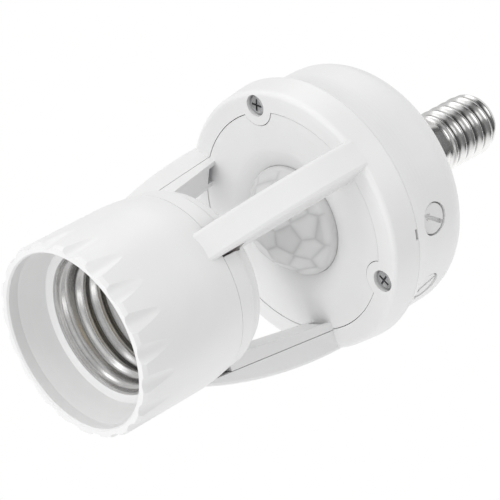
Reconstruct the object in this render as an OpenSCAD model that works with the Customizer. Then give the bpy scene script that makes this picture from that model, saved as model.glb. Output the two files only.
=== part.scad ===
// Motion sensor lamp holder: it screws into a small lampholder and carries a large screw lamp.
// It stands on the mouth of its lamp barrel, and +Z runs from the mouth to the tip of the small cap.

/* [Lamp barrel] */
// Outside diameter of the lamp barrel
barrel_d = 40.2; // [39.6:0.1:42]
// Outside diameter of the barrel at its seam with the socket cap
seam_d = 38.64; // [38.2:0.02:39.4]
// Length of the barrel from the mouth to that seam
barrel_len = 26.6; // [26:0.1:32]
// Thickness of the barrel wall behind the mouth
barrel_wall = 1.9; // [1.6:0.1:2.1]
// Clear diameter of the mouth
mouth_d = 36.32; // [35.6:0.02:36.8]
// Depth of the cylindrical band inside the mouth
mouth_band = 2.6; // [1.5:0.1:3.5]
// Diameter at the end of the mouth's taper
taper_d = 35.2; // [34.6:0.1:35.5]
// Depth at the end of the mouth's taper
taper_depth = 4.6; // [4.2:0.1:5.4]
// Diameter at the front of the ledge that holds the lamp socket
ledge_d = 32.9; // [32.6:0.1:33.6]
// Depth of that ledge
ledge_depth = 8.3; // [7.6:0.1:8.8]
// Number of finger flutes round the mouth
flute_count = 20; // [12:1:24]
// Length of a flute
flute_len = 7.9; // [5:0.1:12]
// Depth of a flute at the mouth
flute_depth = 0.9; // [0.3:0.1:1.1]
// Radius of the flute's section
flute_r = 3.2; // [2.4:0.1:4.2]
// Number of ribs that centre the socket cup
cup_rib_count = 6; // [4:1:8]

/* [Socket cap] */
// Length of the cap behind the barrel's seam
cap_len = 8; // [7.6:0.1:12]
// Outside diameter of the cap near its flat end
cap_end_d = 36; // [35:0.1:37.4]
// Rounding of the cap's end
cap_round = 3.2; // [1:0.1:3.6]
// Wall of the cap
cap_wall = 1.7; // [1.3:0.1:2]
// Length of the spigot inside the barrel
spigot_len = 2; // [1.2:0.1:2.6]

/* [Arms] */
// Clear length between the cap and the sensor ring
arm_clear = 25.8; // [22:0.1:40]
// Width of an arm
arm_w = 6.4; // [5.6:0.1:8]
// Wall of the arm's channel
arm_wall = 1.2; // [0.9:0.1:1.5]
// Thickness of the arm's outer face
arm_floor = 1.5; // [1.1:0.1:1.8]
// Rounding of the arm's outer edges
arm_round = 0.7; // [0.3:0.1:1]
// Distance from the arm's root on the barrel to the seam
arm_root = 2.6; // [1.5:0.1:4]
// Slope of the arm where it meets the ring, in degrees
arm_end_slope = 3; // [0:0.5:6]

/* [Sensor housing] */
// Diameter at the parting line
housing_d = 58.1; // [57.6:0.1:62]
// Diameter of the ring's front edge
ring_front_d = 56.9; // [56.4:0.1:57.4]
// Length of the ring from its front face to the parting line
ring_len = 6.6; // [6.2:0.1:9]
// Rounding of the ring's front edge
ring_round = 1.2; // [0.6:0.1:1.5]
// Length of the rear shell's side
shell_len = 12.6; // [12:0.1:18]
// Diameter of the rear shell's side
shell_d = 54.2; // [52:0.1:56]
// Length over which that side flares out to the parting line
flare_len = 7.5; // [6:0.1:9]
// Rounding of the rear shell's edge
shell_round = 6; // [4:0.1:6.6]
// Height of the conical rear face
rear_rise = 3.2; // [2:0.1:6]
// Wall of the ring and the shell
wall = 2; // [1.6:0.1:2.2]
// Number of latches along the parting line
latch_count = 3; // [2:1:3]

/* [Sensor plate] */
// Diameter of the seam round the plate
plate_d = 47.6; // [47:0.1:48]
// Thickness of the plate
plate_t = 1.8; // [1.4:0.1:2.2]
// Depth of the plate below the ring's face
plate_sink = 0.1; // [0.1:0.05:0.6]
// Outside diameter of the dish round the lens
dish_d = 32.4; // [30:0.1:35]
// Depth of the dish below the plate's face
dish_depth = 1.2; // [0.4:0.05:1.3]
// Diameter of the lens opening
lens_hole_d = 24.08; // [23.6:0.02:26]
// Seam between the cage and the sensor cover
seam_gap = 0.15; // [0.1:0.05:0.25]

/* [Lens] */
// Radius of the lens dome
dome_r = 11.5; // [10.8:0.05:11.6]
// Wall of the lens dome
dome_wall = 0.8; // [0.6:0.1:1.2]
// Height of the dome's centre behind the edge of the opening
dome_sink = 2.6; // [2:0.1:3.4]
// Diameter of the lens flange
lens_flange_d = 26.6; // [26:0.1:27]
// Thickness of the lens flange
lens_flange_t = 1; // [0.8:0.1:1.3]

/* [Case screws] */
// Number of case screws
screw_count = 3; // [3:1:3]
// Diameter of the circle on which the case screws sit
screw_circle_d = 50.6; // [50:0.1:51.2]
// Head diameter of a case screw
screw_head_d = 4.4; // [4:0.1:4.8]
// Head height of a case screw
screw_head_h = 1.5; // [1.2:0.1:1.8]
// Thread diameter of a case screw
screw_d = 2.5; // [2:0.1:2.8]
// Length of a case screw under its head
screw_len = 8; // [6:0.5:8.5]
// Radius of the lobe round a case screw
lobe_r = 4.2; // [3.8:0.1:4.4]

/* [Adjusters] */
// Azimuth of the time adjuster in degrees
time_azimuth = -49.6; // [-54:0.1:-46]
// Azimuth of the light level adjuster in degrees
lux_azimuth = -13.5; // [-18:0.1:-10]
// Height of the adjusters behind the parting line
knob_rise = 7.15; // [6.8:0.05:7.6]
// Diameter of an adjuster's dial
knob_d = 6.4; // [5:0.1:6.6]
// Thickness of an adjuster's dial
knob_t = 1.9; // [1.4:0.1:2.1]
// Depth of the dial's face below the shell
knob_sink = 0.3; // [0.2:0.05:0.6]
// Gap round an adjuster's dial
knob_gap = 0.3; // [0.2:0.05:0.4]
// Diameter of an adjuster's stem
stem_d = 3; // [2.4:0.1:3.4]
// Turn of the time arrow from straight ahead, in degrees
time_turn = 33; // [-60:1:60]
// Turn of the light level arrow from straight ahead, in degrees
lux_turn = 30; // [-60:1:60]

/* [Circuit boards] */
// Diameter of the main board
board_d = 49.4; // [46:0.1:50]
// Thickness of the main board
board_t = 1.6; // [1.2:0.1:1.8]
// Diameter of the sensor board
sensor_board_d = 25.6; // [22:0.1:26.4]
// Thickness of the sensor board
sensor_board_t = 1; // [0.8:0.1:1.2]
// Space between the two boards
board_space = 2.4; // [2:0.1:3]
// Outside diameter of an insulated lead
lead_d = 1.3; // [1:0.1:1.5]

/* [Lamp socket] */
// Pitch of the large lamp thread
lamp_pitch = 3.629; // [3.5:0.001:3.7]
// Inside diameter at the crests of the large thread
lamp_crest_d = 24.6; // [24.3:0.1:25]
// Inside diameter at the roots of the large thread
lamp_root_d = 26.8; // [26.6:0.1:27.2]
// Number of turns of the large thread
lamp_turns = 4; // [3:1:4]
// Inside diameter of the socket shell's rim
lamp_rim_d = 29.6; // [28.6:0.1:30]
// Thickness of the thread sheets
sheet_t = 0.3; // [0.2:0.05:0.4]
// Thickness of the socket cup
cup_wall = 1.7; // [1.2:0.1:1.8]

/* [Small cap] */
// Length of the plastic neck between the rear face and the small cap
neck_len = 12.7; // [10:0.1:16]
// Diameter of the neck beside the small cap
neck_d = 17; // [15.6:0.1:20]
// Pitch of the small thread
cap_pitch = 2.822; // [2.7:0.001:2.9]
// Outside diameter at the crests of the small thread
cap_crest_d = 13.8; // [13.6:0.1:13.9]
// Outside diameter at the roots of the small thread
cap_root_d = 12.3; // [12:0.1:12.6]
// Number of turns of the small thread
cap_turns = 5; // [4:1:5]
// Length of the small cap's plain skirt
cap_skirt = 5.4; // [4:0.1:7]
// Height of the insulator between thread and tip
insulator_h = 2.2; // [2:0.1:3.4]
// Diameter of the tip contact
tip_d = 5; // [4.8:0.1:6.4]
// Height of the tip contact
tip_h = 1.6; // [1.6:0.1:2.8]

/* [Hidden] */
$fn = 96;
eps = 0.01;

// Directions round the axis
arm_angles = [-90, 30, 150];
screw_angles = [for (i = [0:screw_count - 1]) 90 + i * 360 / screw_count];

// Stations along the axis
z_seam = barrel_len;
z_cap = z_seam + cap_len;
z_ring = z_cap + arm_clear;
z_part = z_ring + ring_len;
z_side = z_part + shell_len;
z_rear = z_side + shell_round + rear_rise;
z_e14 = z_rear + neck_len - 2.1;
e14_len = cap_skirt + cap_turns * cap_pitch + 0.9;
z_e14_end = z_e14 + e14_len;
z_insulator = z_e14_end + insulator_h - 0.2;

// Radii of the barrel
barrel_r = barrel_d / 2;
seam_r = seam_d / 2;
barrel_in_r = barrel_r - barrel_wall;
lip_r = lamp_rim_d / 2 + 0.2;
lip_depth = ledge_depth + 0.6;
lip_back = lip_depth + 0.8;

// Radii of the housing
ring_front_r = ring_front_d / 2;
housing_r = housing_d / 2;
shell_r = shell_d / 2;
plate_r = plate_d / 2;
lens_hole_r = lens_hole_d / 2;
screw_circle_r = screw_circle_d / 2;

// Stations of the sensor plate, its lens and the boards behind it
z_plate = z_ring + plate_sink;
z_plate_back = z_plate + plate_t;
z_dish = z_plate + dish_depth;
z_lens_seat = z_dish + 1.2;
z_dome = z_dish + dome_sink;
z_flange = z_lens_seat + 0.05;
z_flange_back = z_flange + lens_flange_t;
retainer_h = 1.2;
z_sensor_board = z_flange_back + retainer_h + 0.15;
z_sensor_back = z_sensor_board + sensor_board_t;
z_board = z_sensor_back + board_space;
z_board_back = z_board + board_t;
z_knob = z_part + knob_rise;
collar_in_r = lens_flange_d / 2 + 0.15;
collar_r = collar_in_r + 1.2;
post_r = 2.5;
post_at = [18, 0];
post_angles = [8, 180];

// Lamp socket stations
z_flare = lip_back + 0.05;
z_thread = z_flare + 3.4;
z_thread_end = z_thread + lamp_turns * lamp_pitch;
cup_out_r = lip_r + 1.15;
cup_in_r = cup_out_r - cup_wall;
z_cup = z_flare + sheet_t + 0.1;
z_cup_floor = z_thread_end - 0.8;
cup_floor_t = 1.6;

// A circular arc in the plane, as points
function arc(c, r, a0, a1, n) =
    [for (i = [0:n]) let (a = a0 + (a1 - a0) * i / n) [c[0] + r * cos(a), c[1] + r * sin(a)]];

// The arm's outer line is one arc from the barrel to the ring's front edge
z_arm = z_seam - arm_root;
arm_mean = atan((ring_front_r - barrel_r) / (z_ring - z_arm));
arm_start_slope = 2 * arm_mean - arm_end_slope;
arm_arc_r = (z_ring - z_arm) / (sin(arm_start_slope) - sin(arm_end_slope));
function arm_sin(z) = sin(arm_start_slope) - (z - z_arm) / arm_arc_r;
function arm_out(z) = barrel_r + arm_arc_r * (sqrt(1 - pow(arm_sin(z), 2)) - cos(arm_start_slope));

// The seam along an arm and the inner face of its closing strip are straight lines
arm_seam_r = seam_r + 0.5;
arm_seam_end = plate_r + seam_gap;
function arm_seam(z) = arm_seam_r + (arm_seam_end - arm_seam_r) * (z - z_seam) / (z_ring - z_seam);
strip_cap_r = cap_end_d / 2 - 0.4;
strip_ring_r = plate_r - 1.4;
function strip_in(z) = strip_cap_r + (strip_ring_r - strip_cap_r) * (z - z_cap) / (z_ring - z_cap);
z_strip = z_seam + 5.5;

// The rear shell's side is straight and flares out to the parting line on a parabola
function side_r(z) =
    let (u = max(0, 1 - (z - z_part) / flare_len))
    shell_r + (housing_r - shell_r) * u * u;

// A knob's face lies on a flat that is square to its own axis
knob_face_r = side_r(z_knob) - knob_sink;
knob_back_r = knob_face_r - knob_t;
trimmer_r = knob_back_r - 4.2;
trimmer_size = [5, 6.8, 6.2];
stem_len = 5.8;

// Sideways section of an arm at one station, with its outer edges rounded
function arm_section(z) =
    let (h = arm_w / 2, o = arm_out(z), c = arm_round, i = min(arm_seam(z), o - c - 0.4))
    [[i, -h, z], [o - c, -h, z], [o - 0.3 * c, -h + 0.3 * c, z], [o, -h + c, z],
     [o, h - c, z], [o - 0.3 * c, h - 0.3 * c, z], [o - c, h, z], [i, h, z]];

// A closed skin over a list of equal sections
module skin(sections) {
    n = len(sections[0]);
    m = len(sections);
    points = [for (s = sections) each s];
    sides = [for (k = [0:m - 2]) for (j = [0:n - 1])
        [k * n + j, (k + 1) * n + j, (k + 1) * n + (j + 1) % n, k * n + (j + 1) % n]];
    first = [for (j = [0:n - 1]) j];
    last = [for (j = [n - 1:-1:0]) (m - 1) * n + j];
    polyhedron(points, concat([first], sides, [last]), convexity = 6);
}

// A round tube along points, with mitred bends
function unit(v) = v / norm(v);
function bend(p, i) =
    i == 0 ? unit(p[1] - p[0]) :
    i == len(p) - 1 ? unit(p[i] - p[i - 1]) :
    unit(unit(p[i] - p[i - 1]) + unit(p[i + 1] - p[i]));
function carried(v, d) = unit(v - (v * d) * d);
function frames(p, i, v) =
    i == len(p) ? [] :
    let (d = bend(p, i), w = carried(v, d))
    concat([[w, cross(d, w)]], frames(p, i + 1, w));
module tube(p, r, sides = 8) {
    f = frames(p, 0, [0.31, 0.87, 0.38]);
    skin([for (i = [0:len(p) - 1])
        [for (j = [0:sides - 1])
            let (a = -360 * j / sides) p[i] + r * (cos(a) * f[i][0] + sin(a) * f[i][1])]]);
}

// Each corner of a route is cut twice, so that the lead bends softly
function cut_once(p) = concat(
    [p[0]],
    [for (i = [0:len(p) - 2]) each [0.75 * p[i] + 0.25 * p[i + 1], 0.25 * p[i] + 0.75 * p[i + 1]]],
    [p[len(p) - 1]]);
function soft(p) = cut_once(cut_once(p));

// Turns a sideways outline into a bar of width w along the direction a
module bar(a, w, outline) {
    rotate([0, 0, a]) rotate([90, 0, 0]) linear_extrude(w, center = true) polygon(outline);
}

// Places its children at radius r and azimuth a
module around(r, a) {
    rotate([0, 0, a]) translate([r, 0, 0]) children();
}

// The axis of an adjuster: local +Z points out of the housing
module adjuster(a) {
    rotate([0, 0, a]) translate([0, 0, z_knob]) rotate([0, 90, 0]) children();
}

// Moulded cage: barrel, arms and front ring
barrel_outline = concat(
    [[mouth_d / 2 + 0.3, 0], [barrel_r - 0.4, 0], [barrel_r, 0.9], [barrel_r, z_seam * 0.7]],
    [for (i = [1:6]) let (u = i / 6)
        [barrel_r - (barrel_r - seam_r) * u * u, z_seam * (0.7 + 0.3 * u)]],
    [[barrel_in_r, z_seam], [barrel_in_r, lip_back], [lip_r, lip_back], [lip_r, lip_depth],
     [ledge_d / 2, ledge_depth], [taper_d / 2, taper_depth], [mouth_d / 2, mouth_band],
     [mouth_d / 2, 0.4]]);

module flutes() {
    taper = flute_depth / flute_len;
    for (i = [0:flute_count - 1])
        around(barrel_r - flute_depth + flute_r, -90 + i * 360 / flute_count)
            translate([0, 0, -1])
                cylinder(h = flute_len + 1, r1 = flute_r + taper, r2 = flute_r - flute_depth);
}

module cup_ribs() {
    h = z_seam - spigot_len - lip_back - 0.5;
    difference() {
        for (i = [0:cup_rib_count - 1])
            rotate([0, 0, i * 360 / cup_rib_count])
                translate([cup_out_r, -0.6, lip_back - 0.2])
                    cube([barrel_in_r - cup_out_r + 0.4, 1.2, h + 0.2]);
        translate([0, 0, lip_back]) cylinder(h = h + 1, r = cup_out_r + 0.1);
    }
}

arm_steps = 12;
module arm_body() {
    skin([for (i = [0:arm_steps])
        arm_section(z_arm - 1.2 + (z_ring + ring_round - z_arm + 1.2) * i / arm_steps)]);
}

arm_cut_from = z_seam + 0.3;
arm_cut_to = z_ring + wall + 1.5;
module arm_channel(a) {
    outer = [for (i = [0:arm_steps])
        let (z = arm_cut_from + (arm_cut_to - arm_cut_from) * i / arm_steps)
        [min(arm_out(z), ring_front_r) - arm_floor, z]];
    bar(a, arm_w - 2 * arm_wall,
        concat([[arm_seam_r - 1, arm_cut_from]], outer, [[plate_r - 1, arm_cut_to]]));
}

ring_outline = concat(
    [[plate_r + seam_gap, z_ring]],
    arc([ring_front_r - ring_round, z_ring + ring_round], ring_round, -90, 0, 6),
    [[housing_r, z_part - 0.15], [housing_r - 0.15, z_part], [housing_r - wall - 0.2, z_part],
     [housing_r - wall - 0.2, z_part + 1.6], [housing_r - wall - 1.2, z_part + 1.6],
     [housing_r - wall - 1.2, z_ring + wall], [plate_r + seam_gap, z_ring + wall]]);

module screw_lobes() {
    intersection() {
        for (a = screw_angles)
            around(screw_circle_r, a) translate([0, 0, z_ring]) cylinder(h = ring_len - 0.2, r = lobe_r);
        rotate_extrude() polygon([
            [0, z_ring], [ring_front_r - ring_round, z_ring], [ring_front_r, z_ring + ring_round],
            [housing_r - 0.4, z_part - 0.3], [0, z_part - 0.3]]);
    }
}

head_sink = 0.45;
bore_depth = head_sink + screw_head_h;
module screw_holes() {
    for (a = screw_angles)
        around(screw_circle_r, a) translate([0, 0, z_ring - 1]) {
            cylinder(h = bore_depth + 1, r = screw_head_d / 2 + 0.12, $fn = 48);
            cylinder(h = ring_len + 2, r = screw_d / 2 + 0.2, $fn = 48);
        }
}

boss_r = 3;
module lip_relief() {
    for (a = screw_angles)
        around(screw_circle_r, a) translate([0, 0, z_part - 0.1]) cylinder(h = 3, r = boss_r + 0.4);
}

latch_w = 2.3;
module latch_slots() {
    for (i = [0:latch_count - 1])
        rotate([0, 0, time_azimuth + i * 360 / latch_count])
            translate([housing_r - wall - 1.5, -latch_w / 2, z_part - 0.65])
                cube([wall + 3, latch_w, 0.8]);
}

module housing_cage() {
    color("#f1f2f2") difference() {
        union() {
            rotate_extrude() polygon(barrel_outline);
            cup_ribs();
            rotate_extrude() polygon(ring_outline);
            screw_lobes();
            for (a = arm_angles) rotate([0, 0, a]) arm_body();
        }
        for (a = arm_angles) arm_channel(a);
        screw_holes();
        lip_relief();
        latch_slots();
        flutes();
    }
}

// Sensor cover: plate with its dish, arm strips and socket cap in one moulding
plate_outline = concat(
    [[plate_r, z_plate]],
    [for (i = [0:6]) let (u = i / 6)
        [dish_d / 2 + (lens_hole_r - dish_d / 2) * u, z_plate + dish_depth * pow(u, 1.7)]],
    [[lens_hole_r, z_lens_seat], [collar_in_r, z_lens_seat]],
    [[collar_in_r, z_flange_back + retainer_h], [collar_r, z_flange_back + retainer_h],
     [collar_r, z_plate_back], [plate_r - 1, z_plate_back], [plate_r - 1, z_plate_back + 2],
     [plate_r, z_plate_back + 2]]);

cap_end_r = cap_end_d / 2;
cap_outline = concat(
    [[seam_r - 0.05, z_seam + 0.12], [(seam_r + cap_end_r) / 2 + 0.25, z_seam + cap_len * 0.45],
     [cap_end_r, z_cap - cap_round]],
    arc([cap_end_r - cap_round, z_cap - cap_round], cap_round, 0, 90, 8),
    [[0, z_cap], [0, z_cap - cap_wall], [cap_end_r - cap_wall - 0.4, z_cap - cap_wall],
     [barrel_in_r - 0.15 - cap_wall, z_seam + 0.6], [barrel_in_r - 0.15 - cap_wall, z_seam - spigot_len],
     [barrel_in_r - 0.15, z_seam - spigot_len], [barrel_in_r - 0.15, z_seam + 0.12]]);

window_w = arm_w + 0.5;
module lead_windows() {
    for (a = arm_angles)
        rotate([0, 0, a])
            translate([cap_end_r - cap_wall - 2.6, -window_w / 2, z_seam - spigot_len - 1])
                cube([8, window_w, z_strip - z_seam + spigot_len + 1]);
}

module arm_strip(a) {
    difference() {
        bar(a, arm_w, [
            [strip_cap_r - 3, z_strip], [arm_seam(z_strip) - seam_gap, z_strip],
            [arm_seam(z_ring) - seam_gap, z_ring], [plate_r - 0.3, z_plate + 1],
            [strip_ring_r, z_plate + 1], [strip_cap_r - 0.3, z_cap - 1.5],
            [strip_cap_r - 3, z_cap - 1.5]]);
        bar(a, arm_w - 2 * arm_wall, [
            [strip_ring_r - 2, z_ring - 1.2], [plate_r + 1, z_ring - 2.6],
            [plate_r + 1, z_plate], [strip_ring_r - 2, z_plate]]);
    }
    z0 = z_cap + 1;
    z1 = z_ring - 4;
    bar(a, arm_w - 2 * arm_wall - 0.4, [
        [arm_seam(z0) - 0.8, z0], [arm_seam(z0) + 0.5, z0], [arm_seam(z1) + 0.7, z1],
        [arm_seam(z1) - 0.8, z1]]);
}

module lead_slots() {
    for (a = arm_angles)
        bar(a, arm_w - 2 * arm_wall,
            [[plate_r - 1.2, z_ring + 0.9], [plate_r + 3, z_ring + 0.9],
             [plate_r + 3, z_plate_back + 3], [plate_r - 1.2, z_plate_back + 3]]);
}

module inner_cover() {
    color("#f3f4f4") difference() {
        union() {
            difference() {
                rotate_extrude() polygon(plate_outline);
                for (a = screw_angles)
                    around(screw_circle_r, a) translate([0, 0, z_ring - 1])
                        cylinder(h = 9, r = lobe_r + seam_gap);
                lead_slots();
            }
            difference() {
                rotate_extrude() polygon(cap_outline);
                lead_windows();
            }
            for (a = arm_angles) arm_strip(a);
            for (a = post_angles)
                around(post_at[0], a) translate([0, 0, z_plate_back - 0.4])
                    cylinder(h = z_board - z_plate_back + 0.4, r = post_r, $fn = 48);
        }
        for (a = post_angles)
            around(post_at[0], a) translate([0, 0, z_board - 4]) cylinder(h = 5, r = 0.9, $fn = 32);
    }
}

// Sensor lens: a dome of flat honeycomb cells over a smooth inside
cell_rings = [[0, 1, 0], [27, 6, 15], [46, 12, 0], [63, 12, 15], [80, 12, 0]];
module dome_cells(r) {
    size = 3 * r;
    intersection_for (ring = cell_rings)
        intersection_for (i = [0:ring[1] - 1])
            rotate([0, 0, ring[2] + i * 360 / ring[1]]) rotate([0, 180 - ring[0], 0])
                translate([-size / 2, -size / 2, r * 0.975 - size]) cube(size);
}

module pir_lens() {
    color("#e8ebec") translate([0, 0, z_dome]) difference() {
        union() {
            intersection() {
                dome_cells(dome_r);
                sphere(dome_r);
                translate([0, 0, -dome_r]) cube([3 * dome_r, 3 * dome_r, 2 * dome_r], center = true);
            }
            translate([0, 0, z_flange - z_dome])
                cylinder(h = lens_flange_t, r = lens_flange_d / 2);
        }
        sphere(dome_r - dome_wall);
    }
}

module lens_retainer() {
    color("#dcdfe0") translate([0, 0, z_flange_back + 0.02]) difference() {
        cylinder(h = retainer_h, r = collar_in_r - 0.1);
        translate([0, 0, -1]) cylinder(h = retainer_h + 2, r = dome_r + 0.3);
        for (a = [0:90:270])
            rotate([0, 0, a + 45]) translate([collar_in_r - 3, -1, 0.6]) cube([4, 2, 2]);
    }
}

// Rear shell: tapered side, conical rear face and the neck that carries the small cap
rear_slope = atan2(rear_rise, shell_r - shell_round - neck_d / 2 - 2);
neck_r = neck_d / 2;
spigot_r = cap_root_d / 2 - sheet_t - 0.1;
bore_r = 3.6;
z_lip = z_part + 0.06;
side_from = z_lip + 0.15;
shell_side = [for (i = [0:12]) let (z = side_from + (z_side - side_from) * i / 12) [side_r(z), z]];
shell_outline = concat(
    [[housing_r - 0.2, z_lip]],
    shell_side,
    arc([shell_r - shell_round, z_side], shell_round, 0, 90 - rear_slope, 8),
    arc([neck_r + 2.2, z_rear + 1.9], 2, 270 - rear_slope, 180, 6),
    [[neck_r, z_e14], [spigot_r, z_e14], [spigot_r, z_e14_end - 2.2], [bore_r, z_e14_end - 2.2],
     [bore_r, z_rear - wall + 0.4],
     [neck_r, z_rear - wall - 0.4],
     [shell_r - shell_round, z_side + shell_round - wall]],
    arc([shell_r - shell_round, z_side], shell_round - wall, 75, 0, 5),
    [[shell_r - wall, z_part + flare_len - 1], [side_r(z_part + 2.8) - wall, z_part + 2.8],
     [housing_r - wall, z_part + 1.8], [housing_r - wall, z_lip]]);

boss_len = z_ring + bore_depth + screw_len + 0.6 - z_lip;
module shell_bosses() {
    for (a = screw_angles)
        around(screw_circle_r, a) translate([0, 0, z_lip]) cylinder(h = boss_len, r = boss_r, $fn = 48);
}

rib_angles = [15, 60, 120, 180, 235];
module shell_ribs() {
    for (a = rib_angles)
        rotate([0, 0, a]) translate([board_d / 2 - 1.2, -0.6, z_board_back + 0.1])
            cube([housing_r - wall - board_d / 2 + 1.6, 1.2, z_side - z_board_back - 1]);
}

module rear_shell() {
    color("#f1f2f2") difference() {
        union() {
            rotate_extrude() polygon(shell_outline);
            intersection() {
                union() {
                    shell_bosses();
                    shell_ribs();
                }
                rotate_extrude() polygon(concat([[0, z_lip], [housing_r - 0.6, z_lip]],
                    [for (p = shell_side) [p[0] - 0.4, p[1]]], [[0, z_side]]));
            }
        }
        for (a = screw_angles)
            around(screw_circle_r, a) translate([0, 0, z_lip - 1])
                cylinder(h = boss_len + 0.6, r = screw_d / 2 - 0.15, $fn = 32);
        for (a = [time_azimuth, lux_azimuth])
            adjuster(a) translate([0, 0, knob_back_r - 3])
                cylinder(h = 10, r = knob_d / 2 + knob_gap, $fn = 64);
    }
}

// A pan head screw, head down, with a cross recess; its seat is at z = 0
module cross_screw(head_d, head_h, shank_d, shank_len) {
    difference() {
        union() {
            translate([0, 0, -head_h]) rotate_extrude($fn = 48) polygon(concat(
                [[0, 0], [head_d * 0.28, 0]],
                arc([head_d / 2 - head_h * 0.6, head_h * 0.6], head_h * 0.6, -60, 0, 4),
                [[head_d / 2, head_h], [0, head_h]]));
            cylinder(h = shank_len - 1, r = shank_d / 2, $fn = 32);
            translate([0, 0, shank_len - 1])
                cylinder(h = 1, r1 = shank_d / 2, r2 = shank_d / 5, $fn = 32);
        }
        for (a = [0, 90])
            rotate([0, 0, a]) translate([-head_d * 0.3, -head_d * 0.05, -head_h - 0.1])
                cube([head_d * 0.6, head_d * 0.1, head_h * 0.65 + 0.1]);
    }
}

module case_screws() {
    color("#b9bcc0") for (a = screw_angles)
        around(screw_circle_r, a) translate([0, 0, z_ring + bore_depth])
            rotate([0, 0, 20]) cross_screw(screw_head_d, screw_head_h, screw_d - 0.2, screw_len);
}

// Adjusters: a dial with an arrow recess and a stem that turns a trimmer
module arrow() {
    h = knob_d / 2 - 0.25;
    stroke = 0.45;
    polygon([[-h, -stroke], [h - 1.6, -stroke], [h - 1.6, -2 * stroke], [h, 0], [h - 1.6, 2 * stroke],
        [h - 1.6, stroke], [-h, stroke]]);
}

module dial(turn) {
    difference() {
        union() {
            translate([0, 0, knob_back_r]) cylinder(h = knob_t - 0.2, r = knob_d / 2, $fn = 64);
            translate([0, 0, knob_face_r - 0.2])
                cylinder(h = 0.2, r1 = knob_d / 2, r2 = knob_d / 2 - 0.2, $fn = 64);
            translate([0, 0, knob_back_r - stem_len])
                cylinder(h = stem_len + eps, r = stem_d / 2, $fn = 48);
        }
        translate([0, 0, knob_face_r - 0.8]) rotate([0, 0, turn]) linear_extrude(1) arrow();
    }
}

module time_knob() {
    color("#e9eaea") adjuster(time_azimuth) dial(-time_turn);
}

module lux_knob() {
    color("#e9eaea") adjuster(lux_azimuth) dial(lux_turn);
}

module trimmer() {
    s = trimmer_size;
    difference() {
        translate([-(z_board_back + 0.05 + s[2] - z_knob), -s[1] / 2, trimmer_r - s[0]])
            cube([s[2], s[1], s[0]]);
        translate([0, 0, knob_back_r - stem_len - 0.3])
            cylinder(h = stem_len + 3, r = stem_d / 2 + 0.2, $fn = 48);
    }
}

module time_trimmer() {
    color("#2e63a8") adjuster(time_azimuth) trimmer();
}

module lux_trimmer() {
    color("#2e63a8") adjuster(lux_azimuth) trimmer();
}

// Main board with notches for the screw bosses and holes for its two screws
module main_board() {
    color("#2f6b46") difference() {
        translate([0, 0, z_board]) cylinder(h = board_t, r = board_d / 2);
        for (a = screw_angles)
            around(screw_circle_r, a) translate([0, 0, z_board - 1])
                cylinder(h = board_t + 2, r = boss_r + 0.4, $fn = 48);
        for (a = arm_angles)
            around(board_d / 2, a) translate([0, 0, z_board - 1])
                cylinder(h = board_t + 2, r = 1.6, $fn = 32);
        for (a = post_angles)
            around(post_at[0], a) translate([0, 0, z_board - 1])
                cylinder(h = board_t + 2, r = 1.3, $fn = 32);
    }
}

module board_screws() {
    color("#c9ccd0") for (a = post_angles)
        around(post_at[0], a) translate([0, 0, z_board_back]) rotate([180, 0, 0])
            cross_screw(3.8, 1.3, 1.7, 5);
}

// Sensor board with the detector, its window, the light cell and the control chip
module sensor_board() {
    color("#2f6b46") translate([0, 0, z_sensor_board]) cylinder(h = sensor_board_t, r = sensor_board_d / 2);
}

header_at = [-8, 0];
module board_header() {
    color("#26282b") translate([header_at[0], header_at[1], z_sensor_back])
        translate([-1.25, -6.35, 0]) cube([2.5, 12.7, board_space]);
    color("#c7b37a") for (i = [-2:2])
        translate([header_at[0], header_at[1] + i * 2.54, z_sensor_back - 0.8])
            translate([-0.3, -0.3, 0]) cube([0.6, 0.6, board_space + 1.6]);
}

can_r = 4.1;
can_h = 4.2;
window_half = [1.9, 1.5];
module pir_detector() {
    color("#c9ccce") translate([0, 0, z_sensor_board]) mirror([0, 0, 1]) difference() {
        union() {
            cylinder(h = 0.5, r = can_r + 0.5, $fn = 64);
            cylinder(h = can_h - 0.4, r = can_r, $fn = 64);
            translate([0, 0, can_h - 0.4]) cylinder(h = 0.4, r1 = can_r, r2 = can_r - 0.4, $fn = 64);
        }
        translate([-window_half[0], -window_half[1], can_h - 0.6])
            cube([2 * window_half[0], 2 * window_half[1], 2]);
    }
}

module pir_window() {
    h = window_half;
    color("#3b3f44") translate([0, 0, z_sensor_board]) mirror([0, 0, 1])
        translate([-h[0] + 0.05, -h[1] + 0.05, can_h - 0.59])
            cube([2 * h[0] - 0.1, 2 * h[1] - 0.1, 0.5]);
}

module light_cell() {
    color("#d8c9b0") translate([0, 7, z_sensor_board]) mirror([0, 0, 1]) {
        cylinder(h = 1, r = 1.5, $fn = 48);
        translate([0, 0, 0.9]) cylinder(h = 0.5, r1 = 1.2, r2 = 0.9, $fn = 48);
    }
}

module control_chip() {
    color("#25272a") translate([4, 0, z_sensor_back]) {
        translate([-2, -5, 0.2]) cube([4, 10, 1.4]);
        for (s = [-1, 1]) for (i = [0:7])
            translate([s * 2.5 - 0.55, -4.6 + i * 1.27, 0]) cube([1.1, 0.4, 0.25]);
    }
}

// Power parts stand on the back of the main board
relay_size = [17.8, 10.1, 12.3];
relay_at = [0, 11];
module relay() {
    s = relay_size;
    color("#2b4f86") translate([relay_at[0], relay_at[1], z_board_back])
        translate([-s[0] / 2, -s[1] / 2, 0.02]) cube(s);
}

film_size = [6, 13, 11];
film_at = [-12.5, -4];
module film_capacitor() {
    s = film_size;
    color("#c8a53a") translate([film_at[0], film_at[1], z_board_back])
        translate([-s[0] / 2, -s[1] / 2, 0.02]) cube(s);
}

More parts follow.
